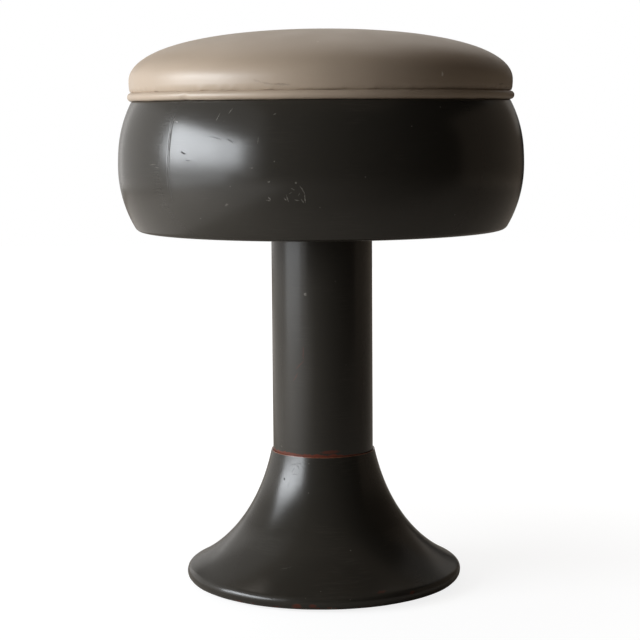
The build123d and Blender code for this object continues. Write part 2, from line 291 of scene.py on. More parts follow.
def bell_outline(wall):
    """Outside line of the spun foot from its neck down to the lip of its rolled rim. The rim
    clears the floor by the felt, and its lip carries the ballast."""
    neck_flare = 12.1
    neck_play = 0.2 * MM
    neck_pull = 55.8 * MM
    flare = 63.0
    flare_pull = 35.8 * MM
    roll = 6.4 * MM
    roll_level = 7.9 * MM
    lip_turn = -pi - 0.09
    neck_radius = column_high.x + neck_play + wall * cos(radians(neck_flare))
    neck = complex(neck_radius, neck_level)
    centre = complex(bell_high.x - roll, roll_level)
    skirt_end = centre + roll * cmath.exp(1j * radians(flare))
    upper = neck + heading(neck_flare) * neck_pull
    lower = skirt_end - heading(flare) * flare_pull
    skirt = bow_line((neck, upper, lower, skirt_end), 89)
    rolled = centre + roll * np.exp(1j * np.linspace(radians(flare), lip_turn, 34))
    return np.concatenate((skirt, rolled[1:]))


def radius_at(outline, height):
    """Largest radius of an outline at a height."""
    level = outline.imag
    crossing = np.nonzero((level[:-1] - height) * (level[1:] - height) <= 0)[0]
    share = (height - level[crossing]) / (level[crossing + 1] - level[crossing] + 1e-12)
    reach = outline.real[crossing] + share * (outline.real[crossing + 1] - outline.real[crossing])
    return float(reach.max())


def placed(name, data):
    """Object for a mesh, a lamp or a camera, put in the scene."""
    piece = bpy.data.objects.new(name, data)
    bpy.context.scene.collection.objects.link(piece)
    return piece


def new_object(name, mesh):
    """Object for a finished mesh, smooth apart from its sharp edges."""
    sharp_angle = 40.0
    mesh.shade_smooth()
    mesh.set_sharp_from_angle(angle=radians(sharp_angle))
    return placed(name, mesh)


def lathe(name, section, azimuths, shape=None):
    """Closed section turned about Z. A shape function may move the radii and heights."""
    turn = np.radians(azimuths)[None, :]
    radius = section.real[:, None] + 0 * turn
    height = section.imag[:, None] + 0 * turn
    if shape:
        radius, height = shape(radius, height, turn)
    points = turned(radius, turn, height)
    index = np.arange(radius.size).reshape(radius.shape)
    below = np.roll(index, -1, 0)
    corners = (index, below, np.roll(below, -1, 1), np.roll(index, -1, 1))
    faces = np.stack(corners, -1).reshape(-1, 4)
    mesh = bpy.data.meshes.new(name)
    mesh.from_pydata(points.reshape(-1, 3).tolist(), [], faces.tolist())
    return new_object(name, mesh)


def put_on(piece, body, slot, *nodes):
    """Lets a finished piece ride on a body and stand for CAD nodes, which it hides. Its slot is not used.
    """
    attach(piece, body)
    if nodes:
        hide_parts(*nodes)


def wander(values, seed):
    """Slow wavy value between about -1 and 1, the same on every run."""
    waves = ((1.0, 0.55), (2.3, 0.3), (5.1, 0.15))
    return sum(share * np.sin(rate * values + seed * rate * 1.7) for rate, share in waves)


def mark_masks(node, coords, outline, marks):
    """Strength of each kind of mark: ellipsoids set on the surface, ragged at their edges. A mark
    is its azimuth, height, length, width, tilt and strength, in degrees and millimetres."""
    ragged_size = 2.2 * MM
    ragged_reach = 1.6 * MM
    mark_depth = 8 * MM
    ragged = node("TexNoise", {"Vector": coords, "Scale": 1 / ragged_size, "Detail": 2.0})
    middle = {0: ragged.outputs["Color"], 1: (0.5, 0.5, 0.5)}
    centred = node("VectorMath", middle, operation="SUBTRACT")
    stray = {0: centred, 1: (ragged_reach,) * 3, 2: coords}
    shift = node("VectorMath", stray, operation="MULTIPLY_ADD")
    masks = {}
    for kind, places in marks.items():
        for azimuth, height, length, width, tilt, strength in places:
            level = height * MM
            spot = {
                "Vector": shift,
                "Location": on_side(radius_at(outline, level), azimuth, level),
                "Rotation": (0, radians(-tilt), radians(azimuth)),
                "Scale": (length * MM / 2, mark_depth, width * MM / 2),
            }
            place = node("Mapping", spot, vector_type="TEXTURE")
            away = node("VectorMath", {0: place}, operation="LENGTH")
            fade = {"Value": away, "From Min": 0.5, "From Max": 1.2, "To Min": strength, "To Max": 0.0}
            mask = node("MapRange", fade, interpolation_type="SMOOTHSTEP")
            if kind in masks:
                mask = node("Math", {0: masks[kind], 1: mask}, operation="MAXIMUM")
            masks[kind] = mask
    return masks


def enamel(name, shell, outline, marks, rough=0.20, worn_below=None, bands=()):
    """Stove enamel, brushed and rubbed by use: a dark olive coat, even in colour, half glossy, with
    a skin that is a little uneven, a slow waviness of the beaten sheet under it, level streaks of
    rubbing, pale scuffs where it was knocked, dark scratches, and red primer where it chipped."""
    material, node, shader, coords = new_material(name)
    place = node("SeparateXYZ", {0: coords}).outputs
    # Size in mm, detail and harshness: clouds of colour, patches of rubbing, the specks of about
    # 1 mm that scuffs break into, chips, the uneven skin and the beaten sheet
    patterns = {
        "cloud": (90, 1.0, 0.5),
        "patches": (34, 1.0, 0.5),
        "specks": (1.2, 3.0, 0.5),
        "chips": (7, 5.0, 0.65),
        "peel": (3.2, 2.0, 0.5),
        "beaten": (60, 1.0, 0.5),
    }
    noise = {}
    for key, (size, detail, harsh) in patterns.items():
        grit = {"Vector": coords, "Scale": 1 / (size * MM), "Detail": detail, "Roughness": harsh}
        noise[key] = node("TexNoise", grit)
    # Rubbing: fine level streaks in soft patches. Real ones are about 0.2 mm; 0.9 mm shows
    stretch = (1 / (16 * MM), 1 / (16 * MM), 1 / (0.9 * MM))
    level = node("Mapping", {"Vector": coords, "Scale": stretch})
    streaks = node("TexNoise", {"Vector": level, "Scale": 1.0, "Detail": 3.0})
    # Fly specks and pinholes, under 1 mm across and about 20 mm apart
    cells = node("TexVoronoi", {"Vector": coords, "Scale": 1 / (12 * MM)})
    lot = node("SeparateColor", {0: cells.outputs["Color"]})
    # A value, where it starts and ends, what that gives, and how it runs between
    ramps = {
        "rubbed": (noise["patches"], 0.42, 0.75, 0.0, 0.035, "SMOOTHSTEP"),
        "streaky": (streaks, 0.45, 0.75, 0.0, 1.0, "SMOOTHSTEP"),
        "broken": (noise["specks"], 0.38, 0.60, 0.25, 1.0, "LINEAR"),
        "dot": (cells, 0.02, 0.06, 0.3, 0.0, "LINEAR"),
        "few": (lot, 0.55, 0.9, 0.0, 1.0, "LINEAR"),
        "gloss": (streaks, 0.3, 0.7, rough, rough + 0.04, "LINEAR"),
    }
    if worn_below:
        ramps["low"] = (place["Z"], worn_below * 0.35, worn_below, 0.10, -0.2, "LINEAR")
        ramps["above"] = (place["Z"], 70 * MM, 97 * MM, 0.16, 0.5, "SMOOTHSTEP")
        ramps["below"] = (place["Z"], 40 * MM, 66 * MM, 0.42, 0.0, "SMOOTHSTEP")
    ramp = {}
    for key, (value, start, end, first, last, kind) in ramps.items():
        span = {"Value": value, "From Min": start, "From Max": end, "To Min": first, "To Max": last}
        ramp[key] = node("MapRange", span, interpolation_type=kind)
    masks = mark_masks(node, coords, outline, marks)
    haze = node("Math", {0: ramp["rubbed"], 1: ramp["streaky"]}, operation="MULTIPLY")
    scuffs = node("Math", {0: masks["pale"], 1: ramp["broken"]}, operation="MULTIPLY")
    speck = node("Math", {0: ramp["dot"], 1: ramp["few"]}, operation="MULTIPLY")
    layers = [
        (haze, linear("#8D877C")),
        (scuffs, linear("#A29D94")),
        (masks["dark"], linear("#0D0B09")),
        (masks["primer"], shell.primer),
        (speck, linear("#A29D94")),
    ]
    if worn_below:
        # Chips through to the primer along the rim that meets the floor
        worn = node("Math", {0: noise["chips"], 1: ramp["low"]}, operation="ADD")
        bare = node("MapRange", {"Value": worn, "From Min": 0.66, "From Max": 0.70})
        layers.append((bare, shaded(shell.primer, 0.9)))
        # Halfway down the skirt a band has lost its shine
        shine = node("Math", {0: ramp["above"], 1: ramp["below"]}, operation="MAXIMUM")
        feed(shader, {"Specular IOR Level": shine})
    for colour, height, depth, side in bands:
        # Ragged line where two painted pieces meet and the coat broke, narrower on the right
        taper = {"From Min": 8 * MM, "From Max": 44 * MM, "To Min": depth, "To Max": depth * 0.2}
        deep = node("MapRange", {"Value": place["X"], **taper})
        edge = node("Math", {0: noise["chips"], 1: deep, 2: height}, operation="MULTIPLY_ADD")
        over = node("Math", {0: edge, 1: place["Z"]}, operation="SUBTRACT")
        sharp = {"Value": over, "From Min": 0.0, "From Max": side * 0.3 * MM}
        layers.append((node("MapRange", sharp), colour))
    tones = {0: noise["cloud"], 6: shaded(shell.enamel, 0.92), 7: shaded(shell.enamel, 1.08)}
    tone = node("Mix", tones, data_type="RGBA")
    for mask, colour in layers:
        tone = node("Mix", {0: mask, 6: tone, 7: colour}, data_type="RGBA")
    dull = node("Math", {0: masks["dark"], 1: 0.7, 2: ramp["gloss"]}, operation="MULTIPLY_ADD")
    skin = node("Bump", {"Height": noise["peel"], "Distance": 0.02 * MM})
    wavy = node("Bump", {"Height": noise["beaten"], "Distance": 0.5 * MM, "Normal": skin})
    feed(shader, {"Base Color": tone, "Roughness": dull, "Normal": wavy, "IOR": 1.54})
    return material


def leathercloth(seat, outline, crease_shade_and_flecks):
    """Leathercloth, a soft vinyl skin on woven backing, embossed with a fine hide grain: even
    taupe, satin, with a faint cloud of wear and a few short creases where it was pulled tight,
    the creases' shade painted dark into the colour.
    The real grain is about 0.6 mm; it is drawn at 1.2 mm so that it shows."""
    material, node, shader, coords = new_material("leathercloth")
    cloud = node("TexNoise", {"Vector": coords, "Scale": 1 / (55 * MM), "Detail": 4.0})
    tones = {0: cloud, 6: shaded(seat.colour, 0.92), 7: shaded(seat.colour, 1.07)}
    tone = node("Mix", tones, data_type="RGBA")
    masks = mark_masks(node, coords, outline, crease_shade_and_flecks)
    # Dark marks are painted shade in the creases; pale marks are flecks in the skin
    for kind, colour in (("dark", shaded(seat.colour, 0.42)), ("pale", linear("#E4DCCF"))):
        tone = node("Mix", {0: masks[kind], 6: tone, 7: colour}, data_type="RGBA")
    hide = {"Vector": coords, "Scale": 1 / (1.2 * MM), "Randomness": 1.0}
    grain = node("TexVoronoi", hide, feature="SMOOTH_F1")
    pores = node("Bump", {"Height": grain, "Distance": 0.05 * MM})
    sunk = node("Math", {0: masks["dark"], 1: -1.0}, operation="MULTIPLY")
    folds = node("Bump", {"Height": sunk, "Distance": 0.6 * MM, "Normal": pores})
    rub = node("TexNoise", {"Vector": coords, "Scale": 1 / (30 * MM), "Detail": 4.0})
    satin = {"Value": rub, "From Min": 0.3, "From Max": 0.7, "To Min": 0.38, "To Max": 0.45}
    rough = node("MapRange", satin)
    feed(shader, {"Base Color": tone, "Roughness": rough, "Normal": folds})
    feed(shader, {"IOR": 1.5, "Specular IOR Level": 0.62})
    return material


def grained(name, dark, light, grain, rise, rough, stretch=(1, 1, 1), detail=5.0, swirl=0.0, fuzz=0.0):
    """Matt stuff of two tones that its own grain breaks up and raises, without gloss."""
    material, node, shader, coords = new_material(name)
    drawn = node("Mapping", {"Vector": coords, "Scale": stretch})
    size = {"Vector": drawn, "Scale": 1 / grain, "Detail": detail, "Distortion": swirl}
    pattern = node("TexNoise", size)
    tone = node("Mix", {0: pattern, 6: dark, 7: light}, data_type="RGBA")
    raised = node("Bump", {"Height": pattern, "Distance": rise})
    feed(shader, {"Base Color": tone, "Normal": raised, "Roughness": rough, "Sheen Weight": fuzz})
    return material


def dull_coat(name, colour, grain, rough):
    """Flat coat or bare casting: one colour broken by its grain, rough and a little uneven."""
    return grained(name, shaded(colour, 0.7), shaded(colour, 1.25), grain, grain * 0.12, rough)


def plywood():
    """Birch plywood: pale face veneer with long grain and dark pores."""
    along = (0.06, 1.0, 1.0)
    tones = (linear("#8A6843"), linear("#C9A878"))
    return grained("birch_plywood", *tones, 5 * MM, 0.15 * MM, 0.62, along, detail=6.0, swirl=0.6)


def felt():
    """Wool felt: matted fibres, no gloss, a soft fuzz at its edge."""
    tones = (linear("#23261F"), linear("#4A4F42"))
    return grained("wool_felt", *tones, 1.1 * MM, 0.35 * MM, 0.95, detail=6.0, swirl=1.5, fuzz=0.3)


def bare_metal(name, colour, rough):
    """Turned, ground or plated metal: bright, with fine rings of the tool round the Z axis."""
    material, node, shader, coords = new_material(name)
    flat = node("VectorMath", {0: coords, 1: (1, 1, 0)}, operation="MULTIPLY")
    reach = node("VectorMath", {0: flat}, operation="LENGTH")
    height = node("SeparateXYZ", {0: coords}).outputs["Z"]
    ringed = node("CombineXYZ", {0: reach, 1: height})
    rings = node("TexNoise", {"Vector": ringed, "Scale": 1 / (0.8 * MM), "Detail": 2.0})
    span = {"Value": rings, "From Min": 0.3, "From Max": 0.7, "To Min": rough, "To Max": rough + 0.16}
    sheen = node("MapRange", span)
    tarnish = node("TexNoise", {"Vector": coords, "Scale": 1 / (9 * MM), "Detail": 4.0})
    tone = node("Mix", {0: tarnish, 6: shaded(colour, 0.72), 7: colour}, data_type="RGBA")
    feed(shader, {"Base Color": tone, "Roughness": sheen, "Metallic": 1.0})
    return material


def white_card():
    """Matt white card: the camera sees it white with a soft shadow, the stool sees a mid grey that
    darkens towards the dim room in front."""
    material, node, shader, coords = new_material("white_card")
    depth = node("SeparateXYZ", {0: coords}).outputs["Y"]
    near = node("MapRange", {"Value": depth, "From Min": -0.75, "From Max": -0.35})
    greys = {0: near, 6: linear("#837E78"), 7: linear("#B8B1A8")}
    grey = node("Mix", greys, data_type="RGBA")
    feed(shader, {"Base Color": grey, "Roughness": 0.9})
    away = node("VectorMath", {0: coords}, operation="LENGTH")
    span = {"Value": away, "From Min": 0.2, "From Max": 0.8, "To Min": 0.84, "To Max": 1.0}
    white = node("MapRange", span, interpolation_type="SMOOTHSTEP")
    lit = node("BsdfDiffuse", {"Color": (0.30, 0.30, 0.30, 1)})
    glow = node("Emission", {"Color": (1, 1, 1, 1), "Strength": white})
    seen = node("AddShader", {0: lit, 1: glow})
    by_camera = node("LightPath").outputs["Is Camera Ray"]
    both = node("MixShader", {0: by_camera, 1: shader, 2: seen})
    feed(material.node_tree.nodes["Material Output"], {"Surface": both})
    return material


def make_stage(stage):
    """Pale floor, white surround, a window and pale walls to the left and behind, and the camera."""
    scene = bpy.context.scene
    scene.view_settings.view_transform = "Standard"
    reach = 4.0
    floor_level = -0.4 * MM
    corners = ((-reach, -reach), (reach, -reach), (reach, reach), (-reach, reach))
    mesh = bpy.data.meshes.new("floor")
    mesh.from_pydata([(x, y, floor_level) for x, y in corners], [], [(0, 1, 2, 3)])
    mesh.materials.append(white_card())
    floor = placed("floor", mesh)
    # White to the camera, a dim room to the stool: its light comes from the panels
    world = bpy.data.worlds.new("pale_room")
    world.use_nodes = True
    scene.world = world
    node = partial(add, world.node_tree)
    by_camera = node("LightPath").outputs["Is Camera Ray"]
    dim = {"Value": by_camera, "To Min": stage.room_light, "To Max": 1.0}
    strength = node("MapRange", dim)
    feed(world.node_tree.nodes["Background"], {"Color": (1, 1, 1, 1), "Strength": strength})
    cool = (0.91, 0.955, 1.0)
    pale = (1.0, 0.975, 0.95)
    warm = (1.0, 0.94, 0.87)
    amber = (1.0, 0.80, 0.60)
    side = -stage.window_distance
    window = stage.window_light
    wall = stage.wall_light
    # Name, centre, facing, width, height, brightness and tint
    panels = (
        ("window_far", (side, -0.48, 0.715), (1, 0, 0), 1.04, 0.61, window, cool),
        ("window_near", (side, -1.37, 0.715), (1, 0, 0), 0.74, 0.61, window * 0.84, cool),
        ("sill", (side, -0.67, 0.21), (1, 0, 0), 1.30, 0.38, window * 0.14, cool),
        ("left_wall", (side - 0.05, 0.40, 0.61), (1, 0, 0), 5.6, 1.18, wall * 0.75, pale),
        ("upper_wall", (side - 0.05, 0.40, 1.90), (1, 0, 0), 5.6, 1.40, wall * 0.4, pale),
        ("back_wall", (-0.6, 3.2, 0.61), (0, -1, 0), 2.8, 1.18, wall * 0.65, pale),
        ("back_right", (1.45, 3.2, 1.25), (0, -1, 0), 1.2, 1.3, wall * 0.25, warm),
        ("back_top", (0.1, 3.2, 2.0), (0, -1, 0), 2.4, 1.6, wall, warm),
        ("overhead", (-0.2, 2.0, 2.8), (0, 0, -1), 2.2, 2.4, wall, warm),
        ("lit_floor", (side + 0.55, 0.2, 0.001), (0, 0, 1), 1.1, 3.6, wall * 0.42, pale),
        ("right_wall", (1.6, 1.45, 0.60), (-1, 0, 0), 3.5, 1.16, wall * 0.12, amber),
        ("right_top", (1.6, 2.10, 1.80), (-1, 0, 0), 2.2, 1.20, wall * 0.15, warm),
        ("front_fill", (-1.1, -2.2, 1.0), (0.43, 0.87, -0.24), 1.6, 1.6, wall * 0.45, pale),
        ("ceiling", (0, 0.60, 2.40), (0, 0, -1), 3.2, 5.2, wall * 0.1, amber),
    )
    for name, centre, facing, wide, tall, bright, tint in panels:
        lamp = bpy.data.lights.new(name, "AREA")
        lamp.shape = "RECTANGLE"
        lamp.size = wide
        lamp.size_y = tall
        lamp.energy = pi * wide * tall * bright
        lamp.color = tint
        panel = placed(name, lamp)
        panel.location = centre
        panel.rotation_euler = Vector(facing).to_track_quat("-Z", "Y").to_euler()
        panel.visible_camera = False
        # The soft light from the front shows in no reflection
        panel.visible_glossy = name != "front_fill"
    camera = placed("camera", bpy.data.cameras.new("camera"))
    camera.data.lens = stage.lens
    camera.data.sensor_width = 36.0
    pitch = Euler((pi / 2 - stage.camera_pitch, 0, 0)).to_matrix()
    roll = Matrix.Rotation(-stage.camera_roll, 3, "Z")
    camera.rotation_euler = (pitch @ roll).to_euler()
    camera.location = stage.camera_place
    scene.camera = camera


def cushion_line(seat):
    """Outside line of the cushion from its crown to the seam over the piping."""
    seam_sink = 0.1 * MM
    crown_pull = 0.63
    crown_drop = 0.60
    edge_pull = 0.84
    edge_drop = 0.6
    belly = welt_high.z + seat.piping_lift - seam_sink
    edge_start = welt_high.x - seat.piping_radius
    rise = (seat.top - seat.widest_level) * crown_drop
    out = (seat.radius - edge_start) * edge_pull
    up = (seat.widest_level - belly) * edge_drop
    widest = complex(seat.radius, seat.widest_level)
    crown = (complex(0, seat.top), complex(seat.radius * crown_pull, seat.top), widest + 1j * rise, widest)
    edge = (widest, widest - 1j * up, complex(edge_start + out, belly), complex(edge_start, belly))
    line = np.concatenate((bow_line(crown, 241), bow_line(edge, 241)[4::4]))
    length = np.concatenate(([0], np.cumsum(abs(np.diff(line)))))
    return np.interp(np.linspace(0, length[-1], 401), length, line)


def evaluated_mesh(piece):
    """Plain mesh of an object with its modifiers."""
    return bpy.data.meshes.new_from_object(piece.evaluated_get(bpy.context.evaluated_depsgraph_get()))


def place_of(mesh):
    """Points of a mesh as an array, and each one's azimuth in radians."""
    points = np.zeros(len(mesh.vertices) * 3, np.float32)
    mesh.vertices.foreach_get("co", points)
    points = points.reshape(-1, 3).astype(float)
    return points, np.arctan2(points[:, 0], -points[:, 1])


def blown_up(cover, seat):
    """Points of the cover after the cloth simulation presses the filling into it."""
    scene = bpy.context.scene
    last_frame = 20
    cloth = cover.modifiers.new("filling", "CLOTH")
    settings = {
        "quality": 6,
        "mass": 0.4,
        "use_pressure": True,
        "uniform_pressure_force": seat.pressure,
        "vertex_group_mass": "sewn",
        "shrink_min": -seat.fabric_excess,
        "tension_stiffness": 25,
        "compression_stiffness": 25,
        "bending_stiffness": 12,
    }
    for name, value in settings.items():
        setattr(cloth.settings, name, value)
    cloth.settings.effector_weights.gravity = 0
    cloth.point_cache.frame_start = 1
    cloth.point_cache.frame_end = last_frame
    for step in range(1, last_frame + 1):
        scene.frame_set(step)
    points = place_of(evaluated_mesh(cover))[0]
    cover.modifiers.clear()
    scene.frame_set(1)
    return points


def filled_cover(seat, line, normal):
    """Closed pillow, remeshed and blown up as cloth. Each point keeps its share of the way down
    the cushion's line and how far it puckers from the mean swelling there."""
    start_depth = 3 * MM
    voxel = 5 * MM
    held_height = 2.5 * MM
    board_inset = 3 * MM
    band_steps = 10
    ironing = 8
    seam = line[-1]
    sunk = np.clip(np.linspace(5, 0, len(line)), 0, 1)
    start = line - normal * start_depth * sunk
    section = np.concatenate((start[::5], [complex(seam.real * 0.5, seam.imag), complex(0, seam.imag)]))
    pillow = lathe("pillow", section, np.arange(0, 360, 2.5))
    bm = bmesh.new()
    bm.from_mesh(pillow.data)
    bmesh.ops.remove_doubles(bm, verts=bm.verts, dist=1e-6)
    bm.to_mesh(pillow.data)
    bm.free()
    remesh = pillow.modifiers.new("voxels", "REMESH")
    remesh.mode = "VOXEL"
    remesh.voxel_size = voxel
    mesh = evaluated_mesh(pillow)
    bpy.data.objects.remove(pillow)
    cover = placed("filled_cover", mesh)
    points, turn = place_of(mesh)
    reach = np.hypot(points[:, 0], points[:, 1])
    low = points[:, 2] < seam.imag + held_height
    held = cover.vertex_groups.new(name="sewn")
    held.add(np.nonzero(low)[0].tolist(), 1.0, "REPLACE")
    moved = blown_up(cover, seat)
    spot = reach + 1j * points[:, 2]
    nearest = abs(start[None, :] - spot[:, None]).argmin(1)
    out = normal[nearest]
    swell = ((moved - points) * turned(out.real, turn, out.imag)).sum(1)
    band = nearest // band_steps
    bands = range(len(line) // band_steps + 1)
    mean = np.array([swell[band == item].mean() if (band == item).any() else 0.0 for item in bands])
    # Leathercloth is stiff, so short folds are ironed out, and it lies tauter away from the seam
    pucker = swell - mean[band]
    ends = np.zeros(len(mesh.edges) * 2, np.int32)
    mesh.edges.foreach_get("vertices", ends)
    first, second = ends.reshape(-1, 2).T
    size = len(points)
    count = np.bincount(ends, minlength=size)
    for step in range(ironing):
        total = np.bincount(first, pucker[second], size) + np.bincount(second, pucker[first], size)
        pucker = (pucker + total / count) / 2
    slack = 0.35 + 0.65 * (nearest / len(line)) ** 3
    pucker = pucker / (pucker.std() + 1e-9) * seat.pucker_depth * slack
    fields = {
        "along": nearest.astype(float),
        "pucker": np.clip(pucker, -3 * seat.pucker_depth, 3 * seat.pucker_depth),
        "under": (low & (reach < seam.real - board_inset)).astype(float),
    }
    for name, values in fields.items():
        field = mesh.attributes.new(name, "FLOAT", "POINT")
        field.data.foreach_set("value", values.astype(np.float32))
    return cover


def make_ring(name, corners, material):
    """Ring of leathercloth on the seat, turned from its section's radii and heights."""
    section = np.array([complex(radius, height) for radius, height in corners])
    ring = lathe(name, section, np.arange(-180, 180, 2.0))
    ring.data.materials.append(material)
    put_on(ring, "seat", "leathercloth")


def make_cushion(seat, line, material):
    """Cushion in its cover, trued to the cushion's line, hollowed underneath for the board."""
    board_play = 0.3 * MM
    board_clear = 0.2 * MM
    hem_radius = 132 * MM
    hem_side = board_high.x + 1.2 * MM
    hem_play = 0.05 * MM
    seam = line[-1]
    normal = normal_of(line)
    cover = filled_cover(seat, line, normal)
    rounding = cover.modifiers.new("rounding", "SUBSURF")
    rounding.levels = 1
    rounding.render_levels = 1
    mesh = evaluated_mesh(cover)
    bpy.data.objects.remove(cover)
    points, turn = place_of(mesh)
    fields = {}
    for name in ("along", "pucker", "under"):
        values = np.zeros(len(points), np.float32)
        mesh.attributes[name].data.foreach_get("value", values)
        mesh.attributes.remove(mesh.attributes[name])
        fields[name] = values.astype(float)
    steps = np.arange(len(line))
    out = np.interp(fields["along"], steps, normal)
    trued = np.interp(fields["along"], steps, line) + out * fields["pucker"]
    kept = fields["under"] < 0.5
    points[kept] = turned(trued.real, turn, trued.imag)[kept]
    mesh.vertices.foreach_set("co", points.astype(np.float32).ravel())
    bm = bmesh.new()
    bm.from_mesh(mesh)
    bm.verts.ensure_lookup_table()
    bottom = [vertex for vertex in bm.verts if not kept[vertex.index]]
    bmesh.ops.delete(bm, geom=bottom, context="VERTS")
    rim = [edge for edge in bm.edges if edge.is_boundary]
    hollow = board_high.x + board_play
    rings = ((seam.real, seam.imag), (hollow, seam.imag), (hollow, board_high.z + board_clear))
    for radius, level in rings:
        for vertex in {vertex for edge in rim for vertex in edge.verts}:
            around = atan2(vertex.co.x, -vertex.co.y)
            vertex.co = (radius * sin(around), -radius * cos(around), level)
        if level < board_high.z:
            made = bmesh.ops.extrude_edge_only(bm, edges=rim)
            rim = [item for item in made["geom"] if isinstance(item, bmesh.types.BMEdge)]
    bmesh.ops.contextual_create(bm, geom=rim)
    bmesh.ops.recalc_face_normals(bm, faces=bm.faces)
    bm.to_mesh(mesh)
    bm.free()
    mesh.materials.clear()
    mesh.materials.append(material)
    cushion = new_object("cushion", mesh)
    put_on(cushion, "seat", "leathercloth", "cushion_cover", "foam_pad")
    # Cover drawn down beside the board and hemmed under it
    hem_top = seam.imag - 0.1 * MM
    hem_corners = (
        (hem_side, hem_top),
        (hem_side, cushion_low.z),
        (hem_radius, cushion_low.z),
        (hem_radius, board_low.z - hem_play),
        (board_high.x + hem_play, board_low.z - hem_play),
        (board_high.x + hem_play, hem_top),
    )
    make_ring("cover_hem", hem_corners, material)


def new_growth(name, **inputs):
    """Geometry node tree with named inputs of each kind, what adds a node to it and those inputs."""
    tree = bpy.data.node_groups.new(name, "GeometryNodeTree")
    for kind, labels in inputs.items():
        for label in labels:
            tree.interface.new_socket(label, in_out="INPUT", socket_type="NodeSocket" + kind)
    tree.interface.new_socket("Geometry", in_out="OUTPUT", socket_type="NodeSocketGeometry")
    node = partial(add, tree)
    return tree, node, node("GroupInput").outputs


def finish_growth(node, geometry, material):
    """Ends a tree in a plain mesh with its material."""
    real = node("RealizeInstances", {0: geometry})
    painted = node("SetMaterial", {"Geometry": real, "Material": material})
    node("GroupOutput", {0: painted})


def grown(name, tree, values):
    """Object with the plain mesh that a tree makes from its inputs."""
    seed = placed(name, bpy.data.meshes.new(name))
    growth = seed.modifiers.new("growth", "NODES")
    growth.node_group = tree
    for item in tree.interface.items_tree:
        if item.in_out == "INPUT":
            growth[item.identifier] = values[item.name]
    mesh = evaluated_mesh(seed)
    bpy.data.objects.remove(seed)
    mesh.name = name
    return new_object(name, mesh)


def ring_growth():
    """Tree for a round bead that follows a level circle, uneven and nicked at one place."""
    tree, node, given = new_growth(
        "uneven_ring",
        Float=("Ring radius", "Level", "Bead radius", "Wobble", "Wobble size"),
        Vector=("Join",),
        Material=("Material",),
    )
    path = node("CurvePrimitiveCircle", {"Resolution": 720, "Radius": given["Ring radius"]})
    lift = node("CombineXYZ", {"Z": given["Level"]})
    raised = node("SetPosition", {"Geometry": path, "Offset": lift})
    cord = node("CurvePrimitiveCircle", {"Resolution": 24, "Radius": given["Bead radius"]})
    bead = node("CurveToMesh", {"Curve": raised, "Profile Curve": cord})
    spot = node("InputPosition")
    fineness = node("Math", {0: 1.0, 1: given["Wobble size"]}, operation="DIVIDE")
    noise = node("TexNoise", {"Vector": spot, "Scale": fineness, "Detail": 2.0})
    centred = node("Math", {0: noise, 1: 0.5}, operation="SUBTRACT")
    stray = node("Math", {0: centred, 1: given["Wobble"]}, operation="MULTIPLY")
    gap = node("VectorMath", {0: spot, 1: given["Join"]}, operation="DISTANCE")
    dent = {"From Min": 1.5 * MM, "From Max": 6 * MM, "To Min": -0.9 * MM, "To Max": 0.0}
    nick = node("MapRange", {"Value": gap, **dent}, interpolation_type="SMOOTHSTEP")
    total = node("Math", {0: stray, 1: nick}, operation="ADD")
    outward = node("InputNormal")
    push = node("VectorMath", {0: outward, "Scale": total}, operation="SCALE")
    uneven = node("SetPosition", {"Geometry": bead, "Offset": push})
    finish_growth(node, uneven, given["Material"])
    return tree


def staple_growth():
    """Tree for wire staples set round a circle, each a little askew."""
    tree, node, given = new_growth(
        "hem_staples",
        Int=("Count",),
        Float=("Circle radius", "Level", "Askew"),
        Vector=("Crown", "Leg", "Leg shift"),
        Material=("Material",),
    )
    crown = node("MeshCube", {"Size": given["Crown"]})
    leg = node("MeshCube", {"Size": given["Leg"]})
    right = node("Transform", {"Geometry": leg, "Translation": given["Leg shift"]})
    mirrored = node("VectorMath", {0: given["Leg shift"], 1: (-1, 1, 1)}, operation="MULTIPLY")
    left = node("Transform", {"Geometry": leg, "Translation": mirrored})
    staple = node("JoinGeometry")
    for wire in (crown, right, left):
        feed(staple, {0: wire})
    circle = node("MeshCircle", {"Vertices": given["Count"], "Radius": given["Circle radius"]})
    lift = node("CombineXYZ", {"Z": given["Level"]})
    raised = node("SetPosition", {"Geometry": circle, "Offset": lift})
    index = node("InputIndex")
    share = node("Math", {0: index, 1: given["Count"]}, operation="DIVIDE")
    turn = node("Math", {0: share, 1: tau, 2: pi / 2}, operation="MULTIPLY_ADD")
    least = node("Math", {0: given["Askew"], 1: -1.0}, operation="MULTIPLY")
    askew = {2: least, 3: given["Askew"], "Seed": 7}
    lean = node("RandomValue", askew, data_type="FLOAT")
    total = node("Math", {0: turn, 1: lean}, operation="ADD")
    facing = node("CombineXYZ", {"Z": total})
    rotation = node("EulerToRotation", {0: facing})
    each = {"Points": raised, "Instance": staple, "Rotation": rotation}
    row = node("InstanceOnPoints", each)
    finish_growth(node, row, given["Material"])
    return tree


def make_piping(seat, material):
    """Covered cord round the foot of the cushion, sewn a little unevenly, nicked where it joins,
    and the tail of its cover that the board holds down."""
    tail_radius = 143 * MM
    tail_play = 0.05 * MM
    join_azimuth = -41.0
    ring = welt_high.x - seat.piping_radius
    level = welt_high.z - seat.piping_radius + seat.piping_lift
    values = {
        "Ring radius": ring,
        "Level": level,
        "Bead radius": seat.piping_radius,
        "Wobble": seat.piping_wobble,
        "Wobble size": 26 * MM,
        "Join": on_side(welt_high.x, join_azimuth, level - 2.5 * MM),
        "Material": material,
    }
    piping = grown("piping", ring_growth(), values)
    put_on(piping, "seat", "leathercloth", "piping_welt", "piping_core")
    tail_end = board_high.x + 2.5 * MM
    tail_top = cushion_low.z - tail_play
    tail_foot = drum_high.z + tail_play
    tail_corners = (
        (tail_radius, tail_top),
        (tail_end, tail_top),
        (ring, level - 1.0 * MM),
        (ring, level - 2.0 * MM),
        (tail_end, tail_foot),
        (tail_radius, tail_foot),
    )
    make_ring("piping_tail", tail_corners, material)


